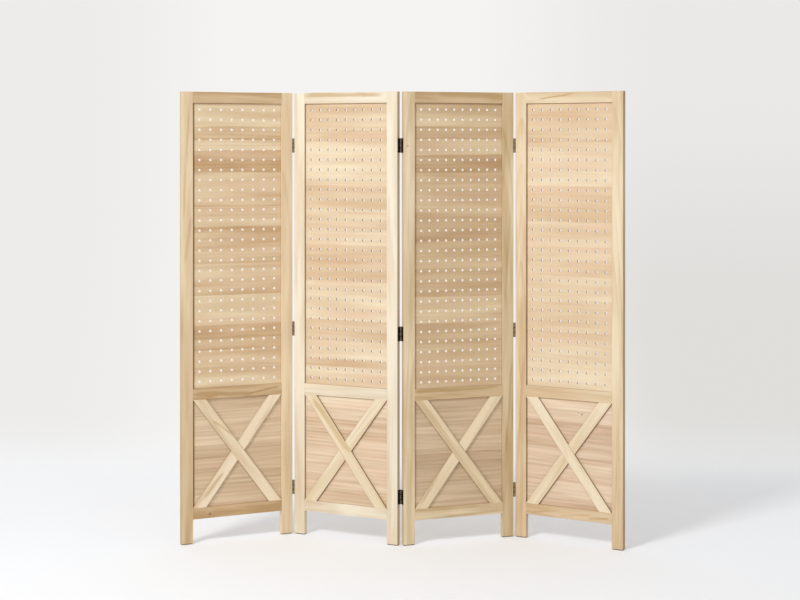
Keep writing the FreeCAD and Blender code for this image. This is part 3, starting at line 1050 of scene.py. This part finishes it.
# Planks from the top of each board down: height in millimetres, shade at the top edge
# and at the bottom edge, from 0 for the palest to 1 for the darkest, and seam, if any
PLANKS = {
    "peg_board_1": (
        (95, 0.38, 0.18), (50, 0.48, 0.64, 0.7), (38, 0.42, 0.14), (84, 0.78, 0.84),
        (128, 0.56, 0.42, 0.9), (78, 0.28, 0.40), (137, 0.66, 0.50, 0.3), (121, 0.30, 0.60),
        (109, 0.16, 0.38), (99, 0.64, 0.76), (145, 0.46, 0.26)),
    "peg_board_2": (
        (82, 0.50, 0.48, -0.2), (74, 0.48, 0.58), (163, 0.22, 0.18), (92, 0.58, 0.64),
        (21, 0.28, 0.36), (74, 0.46, 0.40, -0.9), (42, 0.20, 0.28), (141, 0.52, 0.68, -0.9),
        (34, 0.16, 0.30), (111, 0.26, 0.16), (80, 0.56, 0.58), (72, 0.20, 0.20),
        (28, 0.62, 0.72), (22, 0.30, 0.16, -0.5), (57, 0.38, 0.42)),
    "peg_board_3": (
        (96, 0.66, 0.26), (46, 0.58, 0.85, 0.6), (58, 0.36, 0.16), (66, 0.72, 0.88),
        (68, 0.54, 0.48), (69, 0.34, 0.38), (28, 0.36, 0.55), (95, 0.70, 0.72),
        (57, 0.50, 0.42, 0.3), (45, 0.52, 0.36), (102, 0.50, 0.66), (100, 0.22, 0.30),
        (92, 0.58, 0.54), (157, 0.40, 0.40)),
    "peg_board_4": (
        (153, 0.58, 0.68), (20, 0.42, 0.46, 0.2), (145, 0.34, 0.08), (135, 0.52, 0.60),
        (95, 0.44, 0.36), (110, 0.36, 0.54), (90, 0.46, 0.32), (120, 0.46, 0.52, 0.4),
        (110, 0.54, 0.30), (104, 0.24, 0.24)),
    "lower_board_1": (
        (50, 0.46, 0.42), (68, 0.40, 0.34), (56, 0.34, 0.18), (22, 0.40, 0.45),
        (30, 0.60, 0.58), (110, 0.54, 0.54), (40, 0.48, 0.34), (31, 0.36, 0.50)),
    "lower_board_2": (
        (45, 0.22, 0.16), (27, 0.22, 0.34), (91, 0.57, 0.60, 0.3), (92, 0.44, 0.38),
        (68, 0.46, 0.50), (23, 0.40, 0.38), (61, 0.55, 0.50)),
    "lower_board_3": (
        (105, 0.46, 0.40), (80, 0.40, 0.34), (20, 0.36, 0.42), (48, 0.58, 0.70),
        (50, 0.52, 0.50), (104, 0.54, 0.46)),
    "lower_board_4": (
        (26, 0.14, 0.18), (62, 0.28, 0.40), (44, 0.70, 0.64), (50, 0.60, 0.56),
        (108, 0.46, 0.38), (20, 0.58, 0.66), (26, 0.26, 0.34), (44, 0.48, 0.44),
        (30, 0.56, 0.62)),
}

# How deep the tone of a timber is, round 0 for the palest and up to 1
USUAL_SHADE = 0.25
SHADES = {
    "left_stile_1": 0.17, "top_rail_1": 0.85, "middle_rail_1": 0.68, "bottom_rail_1": 0.84,
    "left_stile_2": 0.12, "right_stile_2": 0.05, "top_rail_2": 0.30, "middle_rail_2": 0.12,
    "bottom_rail_2": 0.26, "right_stile_3": 0.45, "top_rail_3": 0.95, "middle_rail_3": 0.75,
    "bottom_rail_3": 0.34, "left_stile_4": 0.35, "right_stile_4": 0.33, "middle_rail_4": 0.45,
    "bottom_rail_4": 0.86, "brace_over_1": 0.30, "brace_under_1": -0.10, "brace_over_2": 0.32,
    "brace_under_2": 0.14, "brace_over_3": 0.42, "brace_under_3": 0.10, "brace_over_4": 0.06,
    "brace_under_4": 0.22,
}

# Pieces whose figure shows less than in full
FIGURE_SHARES = {
    "left_stile_1": 0.65, "right_stile_1": 0.70, "top_rail_1": 0.70, "middle_rail_1": 0.80,
    "bottom_rail_1": 0.80, "peg_board_1": 0.60, "peg_board_2": 0.60, "peg_board_3": 0.60,
    "peg_board_4": 0.60,
}

# Across, height and radius in millimetres, and strength
KNOTS = {
    "bottom_rail_1": ((112, 107, 6, 0.60),),
    "left_stile_3": ((16, 1496, 3.5, 0.55),),
    "lower_board_4": ((279, 489, 4, 0.55), (264, 495, 2.5, 0.45)),
}

# Across and height of both ends and the width, in millimetres, and the strength. The wide
# ones deepen one end of a timber.
STREAKS = {
    "left_stile_1": ((22, -300, 22, 1000, 120, 0.48), (6, 1200, 30, 1660, 5, 0.24),
                     (12, 1050, 40, 1240, 10, 0.28)),
    "middle_rail_1": ((30, 566, 300, 550, 13, 0.42), (250, 548, 410, 576, 6, 0.40)),
    "brace_over_1": ((120, 462, 205, 398, 6, 0.50),),
    "brace_under_1": ((85, 165, 175, 268, 7, 0.45),),
    "left_stile_2": ((22, -300, 22, 600, 120, 0.16),),
    "right_stile_2": ((427, -300, 427, 750, 120, 0.18),),
    "top_rail_2": ((40, 1692, 410, 1688, 11, 0.85),),
    "bottom_rail_2": ((-200, 113, 240, 113, 120, 0.42), (260, 96, 410, 99, 6, 0.15)),
    "brace_over_2": ((75, 536, 255, 320, 12, 0.95),),
    "right_stile_3": ((427, -300, 427, 1000, 120, 0.30), (412, 850, 440, 1300, 6, 0.20),
                      (418, 300, 444, 700, 7, 0.30)),
    "top_rail_3": ((130, 1690, 410, 1686, 14, 0.45),),
    "middle_rail_3": ((48, 576, 180, 574, 8, 0.75), (150, 570, 400, 578, 6, 0.45)),
    "bottom_rail_3": ((-200, 113, 240, 113, 120, 0.26), (150, 98, 410, 104, 7, 0.28)),
    "brace_under_3": ((60, 140, 190, 330, 6, 0.40),),
    "left_stile_4": ((22, -1630, 22, 360, 120, 0.54), (8, 250, 36, 720, 7, 0.35),
                     (6, 1000, 30, 1350, 5, 0.25)),
    "right_stile_4": ((427, -1630, 427, 450, 120, 0.50),),
    "top_rail_4": ((90, 1672, 250, 1694, 4, 0.75),),
    "bottom_rail_4": ((60, 100, 200, 124, 5, 0.40), (180, 98, 330, 122, 5, 0.40),
                      (300, 100, 400, 112, 6, 0.45)),
}

# Painted light and shade inside the holes, pale on panels 1 and 3 as if lit and dark on panels 2 and 4 as if in
# shade: the walls' tone and that of their flecks
HOLE_LIGHT_AND_SHADE_TONES = {
    1: (Tone(254, 238, 204), Tone(238, 212, 166)),
    2: (Tone(112, 68, 26), Tone(74, 44, 14)),
    3: (Tone(246, 218, 174), Tone(222, 190, 142)),
    4: (Tone(168, 122, 70), Tone(126, 86, 42)),
}

# Left, right, bottom and top of the openings in a panel
UPPER_OPENING = (45 * MM, 405 * MM, 583 * MM, 1658 * MM)
LOWER_OPENING = (45 * MM, 405 * MM, 134 * MM, 541 * MM)

# Width of the painted shade line at the left of a panel's boards
LEFT_SHADE_WIDTHS = {1: 10.0 * MM, 2: 4.4 * MM, 3: 6.5 * MM, 4: 5.2 * MM}


def board_shade_lines(opening: tuple[float, float, float, float], number: int) -> tuple[PaintedShadeLine, ...]:
    """Painted shade lines round a board where it goes into the frame.

    Args:
        opening: Left, right, bottom and top of the opening.
        number: The panel.

    Returns:
        The lines, strongest at the left and the top, where the frame's shadow falls.
    """
    left, right, bottom, top = opening
    return (
        PaintedShadeLine(False, left, -1, LEFT_SHADE_WIDTHS[number], 0.95),
        PaintedShadeLine(False, right, 1, 2.0 * MM, 0.45),
        PaintedShadeLine(True, top, 1, 3.0 * MM, 0.70),
        PaintedShadeLine(True, bottom, -1, 2.0 * MM, 0.35),
    )


@dataclass
class Panel:
    """One panel: its frame, boards and crossed brace, on the group that drills a board."""

    number: int
    columns: int
    tree: GeometryTree
    rows: int = 28
    field_width: float = 304 * MM
    field_height: float = 1026 * MM
    hole_sides: int = 16
    slat_width: float = 43 * MM
    place: PanelFrame = field(init=False)

    def __post_init__(self) -> None:
        """Finds where the panel stands."""
        self.place = PanelFrame.of(self.number)

    def slat_slope(self) -> float:
        """Slope of a slat that runs from corner to corner and is cut level at its ends.

        Returns:
            The slope as an angle.
        """
        low, top = self.place.extent(f"brace_over_{self.number}")
        wide, high, slat = top.x - low.x, top.z - low.z, self.slat_width
        spare = high ** 2 - slat ** 2
        root = math.sqrt(slat ** 4 * wide ** 2 + spare * slat ** 2 * (high ** 2 + wide ** 2))
        cut = (root - slat ** 2 * wide) / spare
        return math.atan2(high, wide - cut)

    def shade_lines_of(self, kind: str) -> tuple[PaintedShadeLine, ...]:
        """Painted shade lines along the edges of a piece.

        Args:
            kind: The piece, without the number of its panel.

        Returns:
            The lines.
        """
        half = self.slat_width / 2
        crossing = half * 1.3
        low, high = self.place.extent(f"{kind}_{self.number}")
        # Painted shade along the openings, along both sides of each slat and along the outer side of each stile
        return {
            "peg_board": board_shade_lines(UPPER_OPENING, self.number),
            "lower_board": board_shade_lines(LOWER_OPENING, self.number),
            "brace_over": (PaintedShadeLine(True, half, 1, 2.2 * MM, 0.70, crossing),
                           PaintedShadeLine(True, -half, -1, 1.8 * MM, 0.50, crossing)),
            "brace_under": (PaintedShadeLine(True, -half, -1, 2.2 * MM, 0.80),
                            PaintedShadeLine(True, half, 1, 1.5 * MM, 0.35)),
            "left_stile": (PaintedShadeLine(False, low.x, -1, 0.6 * MM, 0.30),),
            "right_stile": (PaintedShadeLine(False, high.x, 1, 0.6 * MM, 0.38),),
        }.get(kind, ())

    def wood(self, kind: str, label: str, stock: Stock, run: GrainRun, seed: int, **more: object) -> Material:
        """The wood of one piece, with its own shade, knots, streaks, planks and painted shade lines.

        Args:
            kind: The piece, without the number of its panel.
            label: The material's name.
            stock: The look of its timber.
            run: The way of its grain.
            seed: Picks its figure.
            more: Other fields of the finish.

        Returns:
            The material.
        """
        node = f"{kind}_{self.number}"
        low, high = self.place.extent(node)
        knots, streaks, planks = (
            tuple(mark(*row) for row in table.get(node, ()))
            for mark, table in ((Knot, KNOTS), (Streak, STREAKS), (Plank, PLANKS))
        )
        return WoodFinish(
            label, self.place, stock, run, seed, low, high, shade=SHADES.get(node, USUAL_SHADE),
            figure_share=FIGURE_SHARES.get(node, 1.0), knots=knots, streaks=streaks,
            painted_shade_lines=self.shade_lines_of(kind), planks=planks, **more,
        ).material()

    def dress_timbers(self) -> None:
        """Gives the stiles, rails, slats and lower board their wood."""
        for index, (kind, stock, run) in enumerate(TIMBERS):
            node = f"{kind}_{self.number}"
            low, high = self.place.extent(node)
            wood = self.wood(kind, f"{node}_wood", stock[self.number], run, self.number * 9 + index,
                             slat_slope=self.slat_slope(), centre=tuple((low + high) / 2))
            dress(frame["nodes"][node], wood)

    def build_peg_board(self) -> Piece:
        """Makes the upper board, drilled with round holes.

        Returns:
            The board, which replaces its CAD node.
        """
        number = self.number
        node = f"peg_board_{number}"
        low, high = self.place.extent(node)
        wood = self.wood("peg_board", f"peg_board_wood_{number}", PEG_STOCK[number], GrainRun.LEVEL,
                         20 + number)
        mesh = self.tree.apply(new_object(f"board_blank_{number}", bpy.data.meshes.new("blank")), {
            "Width": high.x - low.x,
            "Height": high.z - low.z,
            "Thickness": high.y - low.y,
            "Field Width": self.field_width,
            "Field Height": self.field_height,
            "Columns": self.columns,
            "Rows": self.rows,
            "Hole Radius": MOUNTS[f"peg_hole_{number}"]["dims"]["r_mm"] * MM,
            "Hole Sides": self.hole_sides,
            "Material": wood,
        })
        middle = Vector(((low.x + high.x) / 2, high.y, (low.z + high.z) / 2))
        stand_up = Matrix.Rotation(math.pi / 2, 4, "X")
        mesh.transform(self.place.matrix @ Matrix.Translation(middle) @ stand_up)
        board = new_object(f"drilled_board_{number}", mesh)
        dress(board, wood)
        self.dress_holes(mesh, low, high)
        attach(board, f"panel_{number}")
        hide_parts(node)
        return board

    def dress_holes(self, mesh: Mesh, low: Vector, high: Vector) -> None:
        """Gives the walls of the holes their own finish of painted light and shade.

        Args:
            mesh: The drilled board in the row frame, with its wood in the first slot.
            low: Lowest corner of the board in the panel's frame.
            high: Highest corner.
        """
        # Painted light on the hole walls of panels 1 and 3, painted shade on those of panels 2 and 4
        painted_hole_walls = FuzzyFinish(f"drilled_wood_{self.number}", *HOLE_LIGHT_AND_SHADE_TONES[self.number])
        mesh.materials.append(painted_hole_walls.material())
        home = self.place.matrix.inverted()
        face_way = home.to_3x3()
        rim = 4 * MM
        for face in mesh.polygons:
            middle = home @ face.center
            inside = all(low[i] + rim < middle[i] < high[i] - rim for i in (0, 2))
            if inside and abs((face_way @ face.normal).y) < 0.5:
                face.material_index = 1

    def build(self, pad: Material) -> None:
        """Makes and dresses the whole panel.

        Args:
            pad: The material of the pads under the legs.
        """
        self.dress_timbers()
        dress(frame["nodes"][f"glides_{self.number}"], pad)
        board = self.build_peg_board()
        LOG.info("panel %d: %s has %d faces", self.number, board.name, len(board.data.polygons))


# Hinges

LEAF_TONE = Tone(44, 36, 28)
LEAF_RUBBED = Tone(80, 70, 58)
# The painted highlight on the barrels
BARREL_HIGHLIGHT_TONE = Tone(138, 124, 106)


@dataclass
class HingeRow:
    """The three hinges between two panels, on the group that sets a piece out."""

    left: int
    right: int
    joint: dict
    tree: GeometryTree
    pin: Material
    screw: Material
    centres: tuple[float, ...] = (180 * MM, 792 * MM, 1498 * MM)
    height: float = 54 * MM
    pin_radius: float = 2.0 * MM
    pin_head_radius: float = 2.9 * MM
    pin_head_height: float = 0.9 * MM
    knuckle_radius: float = 3.5 * MM
    leaf_thickness: float = 1.5 * MM
    leaf_root: float = 3.8 * MM
    leaf_reach: float = 17.5 * MM
    screw_spacing: float = 34 * MM
    screw_length: float = 15 * MM
    head_radius: float = 3.2 * MM
    shank_radius: float = 1.5 * MM
    cross_reach: float = 1.9 * MM
    cross_half: float = 0.42 * MM
    cross_depth: float = 1.0 * MM
    turn_sides: int = 24

    def axis(self) -> Vector:
        """Foot of the pin axis."""
        return Vector((self.joint["pos_m"][0], self.joint["pos_m"][1], 0.0))

    def pin_mesh(self) -> Mesh:
        """A pin with a low button at each end.

        Returns:
            The mesh, with its middle at the origin.
        """
        half, rise, radius = self.height / 2, self.pin_head_height, self.pin_head_radius
        button = ((0.0, half + rise), (radius * 0.6, half + rise * 0.8), (radius, half + rise * 0.2),
                  (radius, half), (self.pin_radius, half))
        profile = (*button, *((wide, -place) for wide, place in reversed(button)))
        return mesh_from("pin", lambda shape: lathe(shape, profile, self.turn_sides), 35)

    def shape_screw(self, shape: Shape) -> None:
        """Fills a bmesh with a countersunk screw along -Z, with a crossed slot in its head.

        Args:
            shape: Takes the faces.
        """
        profile = ((self.head_radius, 0.0), (self.head_radius, -0.15 * MM),
                   (self.shank_radius, -self.leaf_thickness * 1.1),
                   (self.shank_radius, -self.screw_length * 0.8), (0.0, -self.screw_length))
        lathe(shape, profile, self.turn_sides)
        rim = [v for v in shape.verts if v.co.z == 0.0]
        reach, half = self.cross_reach, self.cross_half
        cross = []
        for quarter in range(4):
            turn = Matrix.Rotation(math.pi / 2 * quarter, 3, "Z")
            for spot in ((reach, -half), (reach, half), (half, half)):
                cross.append(shape.verts.new(turn @ Vector((*spot, 0.0))))
        outer = [e for e in shape.edges if e.verts[0] in rim and e.verts[1] in rim]
        inner = [shape.edges.new(pair) for pair in zip(cross, cross[1:] + cross[:1])]
        bmesh.ops.triangle_fill(shape, use_beauty=True, edges=outer + inner)
        floor = [shape.verts.new(v.co + Vector((0.0, 0.0, -self.cross_depth))) for v in cross]
        for a, b, c, d in zip(cross, cross[1:] + cross[:1], floor[1:] + floor[:1], floor):
            shape.faces.new((a, b, c, d))
        shape.faces.new(floor)

    def set_out(self, name: str, mesh: Mesh, places: Iterable[Vector], material: Material) -> Piece:
        """Sets copies of a mesh out on places in the row frame.

        Args:
            name: The new piece's name.
            mesh: One copy, already turned.
            places: Where the copies go.
            material: Their finish.

        Returns:
            One plain piece.
        """
        points = bpy.data.meshes.new("places")
        points.from_pydata([tuple(place) for place in places], [], [])
        copy = new_object("copy", mesh)
        made = self.tree.apply(new_object("host", points), {"Piece": copy, "Material": material})
        bpy.data.objects.remove(copy)
        piece = new_object(name, made)
        dress(piece, material)
        return piece

    def build_screws(self, number: int, edge: str, hand: int) -> None:
        """Makes the screws of one leaf of each hinge.

        Args:
            number: The panel that they go into.
            edge: Its left or right edge.
            hand: -1 where the leaf lies to the left of the pin, 1 to the right.
        """
        panel = PanelFrame.of(number)
        axis = panel.matrix.inverted() @ self.axis()
        inward = 1.0 if axis.y < 0 else -1.0
        across = axis.x + hand * (self.knuckle_radius - self.leaf_thickness)
        deep = axis.y + inward * (self.leaf_root + self.leaf_reach) / 2
        mesh = mesh_from("screw", self.shape_screw, 30)
        mesh.transform(Matrix.Rotation(panel.turn, 4, "Z") @ Matrix.Rotation(-hand * math.pi / 2, 4, "Y"))
        places = [
            panel.matrix @ Vector((across, deep, centre + side))
            for centre in self.centres for side in (-self.screw_spacing / 2, self.screw_spacing / 2)
        ]
        screws = self.set_out(f"round_screws_{number}_{edge}", mesh, places, self.screw)
        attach(screws, f"panel_{number}")
        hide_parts(f"hinge_screws_{number}_{edge}")

    def build(self) -> None:
        """Makes and dresses the hinges."""
        joints = tuple(centre + side * self.height / 6 for centre in self.centres for side in (-1, 1))
        bronze = MetalFinish(f"hinge_bronze_{self.left}_{self.right}", LEAF_TONE, LEAF_RUBBED, 0.34,
                             BARREL_HIGHLIGHT_TONE, tuple(self.axis()), joints=joints).material()
        for number, edge, hand in ((self.left, "right", -1), (self.right, "left", 1)):
            dress(frame["nodes"][f"hinge_leaves_{number}_{edge}"], bronze)
            self.build_screws(number, edge, hand)
        places = [self.axis() + UP * centre for centre in self.centres]
        pins = self.set_out(f"button_pins_{self.left}_{self.right}", self.pin_mesh(), places, self.pin)
        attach(pins, f"panel_{self.left}")
        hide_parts(f"hinge_pins_{self.left}_{self.right}")
        LOG.info("hinges between panels %d and %d", self.left, self.right)


# Studio


@dataclass
class Studio:
    """The pale sweep that the screen stands on, the lamps and the camera.

    The bands are the places, in metres, between which one tone of the sweep goes over into
    the next.
    """

    floor_tone: Tone = Tone(249, 250, 252)
    glow_tone: Tone = Tone(252, 253, 254)
    glow_share: float = 0.16
    left_tone: Tone = Tone(237, 236, 235)
    middle_tone: Tone = Tone(245, 244, 242)
    right_tone: Tone = Tone(234, 233, 232)
    # The tone of the painted shadow of the screen, low on the right of the sweep
    screen_shadow_tone: Tone = Tone(223, 222, 219)
    left_band: Band = (-1.8, -0.8)
    right_band: Band = (0.2, 1.5)
    # The bands of the painted shadow, across and then up
    screen_shadow_band: Band = (0.5, 1.3)
    screen_shadow_rise: Band = (0.5, 1.9)
    far_band: Band = (0.9, 2.4)
    outer_band: Band = (3.2, 6.0)
    half_width: float = 9.0
    front: float = -9.0
    back: float = 3.2
    bend_radius: float = 1.6
    top: float = 6.0
    bend_steps: int = 16
    sky_strength: float = 0.60
    key_place: Vector = field(default_factory=lambda: Vector((-3.6, -5.2, 5.4)))
    key_aim: Vector = field(default_factory=lambda: Vector((0.0, 0.0, 0.8)))
    key_power: float = 295.0
    key_size: float = 1.6
    camera_place: Vector = field(default_factory=lambda: Vector((-0.0039, -6.6191, 1.4963)))
    camera_pitch: float = 0.277
    camera_lens: float = 78.811
    camera_shift: float = -0.1820

    def shape_sweep(self, shape: Shape) -> None:
        """Fills a bmesh with the floor, the bend and the wall in one sheet.

        Args:
            shape: Takes the faces.
        """
        bend, start = self.bend_radius, self.back - self.bend_radius
        angles = [math.pi / 2 * step / self.bend_steps for step in range(self.bend_steps + 1)]
        curve = [(start + bend * math.sin(a), bend * (1 - math.cos(a))) for a in angles]
        rows = [
            [shape.verts.new((x, y, z)) for x in (-self.half_width, self.half_width)]
            for y, z in ((self.front, 0.0), *curve, (self.back, self.top))
        ]
        for low, high in zip(rows, rows[1:]):
            shape.faces.new((low[0], low[1], high[1], high[0]))

    @staticmethod
    def seen(graph: Graph) -> Value:
        """Marks the rays of the camera, of reflections and through glass.

        Args:
            graph: The graph that the mark goes into.

        Returns:
            1 for such a ray and 0 for the rest.
        """
        rays = graph.node("ShaderNodeLightPath").outputs
        kinds = ("Camera", "Glossy", "Transmission")
        return reduce(Value.most, (Value(graph, rays[f"Is {kind} Ray"]) for kind in kinds))

    def sweep_material(self) -> Material:
        """Matt and pale near the screen, of an even tone to the eye further off but for a painted shadow of the
        screen low on the right, clear from behind.

        Returns:
            The material.
        """
        graph = Surface("sweep")
        x, y, z = graph.split(graph.place)
        # A painted shadow of the screen, on the right and low down
        corner = graph.smooth(x, *self.screen_shadow_band) * (1.0 - graph.smooth(z, *self.screen_shadow_rise))
        right = graph.mix(corner, self.right_tone, self.screen_shadow_tone)
        tone = graph.mix(graph.smooth(x, *self.left_band), self.left_tone, self.middle_tone)
        tone = graph.mix(graph.smooth(x, *self.right_band), tone, right)
        outer = graph.smooth(x.size(), *self.outer_band).most(
            graph.smooth((z * 1.2).most(y * -1.0), *self.outer_band))
        tone = graph.mix(outer, tone, self.middle_tone)
        far = graph.smooth(y + z, *self.far_band).most(outer)
        tone = graph.mix(far, self.glow_tone, tone)
        glow = graph.node("ShaderNodeEmission", {"Color": tone, "Strength": 1.0})
        matt = graph.node("ShaderNodeBsdfDiffuse", {"Color": self.floor_tone})
        share = far * (1.0 - self.glow_share) + self.glow_share
        mixed = graph.node("ShaderNodeMixShader", {0: self.seen(graph) * share, 1: matt, 2: glow})
        rear = graph.value("ShaderNodeNewGeometry", output="Backfacing")
        clear = graph.node("ShaderNodeBsdfTransparent")
        return graph.finished({0: rear, 1: mixed, 2: clear}, "ShaderNodeMixShader")

    def light(self) -> None:
        """An even sky and one soft lamp from the upper left."""
        world = bpy.data.worlds.new("sky")
        world.use_nodes = True
        graph = Graph(world.node_tree)
        sky, backdrop = (
            graph.node("ShaderNodeBackground", {"Color": tone, "Strength": strength})
            for tone, strength in ((Tone(255, 255, 255), self.sky_strength), (self.middle_tone, 1.0))
        )
        both = graph.node("ShaderNodeMixShader", {0: self.seen(graph), 1: sky, 2: backdrop})
        graph.node("ShaderNodeOutputWorld", {"Surface": both})
        bpy.context.scene.world = world
        lamp = bpy.data.lights.new("key", "AREA")
        lamp.energy = self.key_power
        lamp.shape = "SQUARE"
        lamp.size = self.key_size
        key = new_object("key", lamp)
        key.location = self.key_place
        key.rotation_euler = (self.key_aim - self.key_place).to_track_quat("-Z", "Y").to_euler()

    def stand_camera(self) -> None:
        """The camera at the photograph's place, level but for its small pitch."""
        eye = bpy.data.cameras.new("camera")
        eye.lens = self.camera_lens
        eye.shift_y = self.camera_shift
        camera = new_object("camera", eye)
        camera.location = self.camera_place
        camera.rotation_euler = (math.radians(90 - self.camera_pitch), 0.0, 0.0)
        bpy.context.scene.camera = camera
        bpy.context.scene.view_settings.view_transform = "Standard"

    def build(self) -> None:
        """Makes the sweep, the lamps and the camera."""
        mesh = mesh_from("sweep", self.shape_sweep, 60)
        if mesh.polygons[0].normal.z < 0:
            mesh.flip_normals()
        sweep = new_object("sweep", mesh)
        dress(sweep, self.sweep_material())
        self.light()
        self.stand_camera()
        LOG.info("studio")


def main() -> None:
    """Builds the screen and its studio."""
    logging.basicConfig(level=logging.INFO, format="%(message)s")
    drill, repeat = make_perforation_tree(), make_repeat_tree()
    pad = FuzzyFinish("glide_felt", Tone(58, 48, 38), Tone(110, 96, 80), stretch=(1500.0, 1500.0, 2200.0),
                      detail=4.0, detail_share=0.7, fleck_band=(0.5, 0.8), roughness=0.85, relief=0.6,
                      specular=0.5).material()
    pin = MetalFinish("pin_bronze", LEAF_TONE, LEAF_RUBBED, 0.34).material()
    screw = MetalFinish("screw_bronze", Tone(60, 52, 44), Tone(120, 112, 102), 0.30).material()
    for number, columns in enumerate((8, 9, 10, 9), 1):
        Panel(number, columns, drill).build(pad)
    joints = {joint["name"]: joint for joint in frame["joints"]}
    for left, right in ((1, 2), (2, 3), (3, 4)):
        HingeRow(left, right, joints[f"fold_{left}_{right}"], repeat, pin, screw).build()
    Studio().build()


if __name__ == "__main__":
    main()
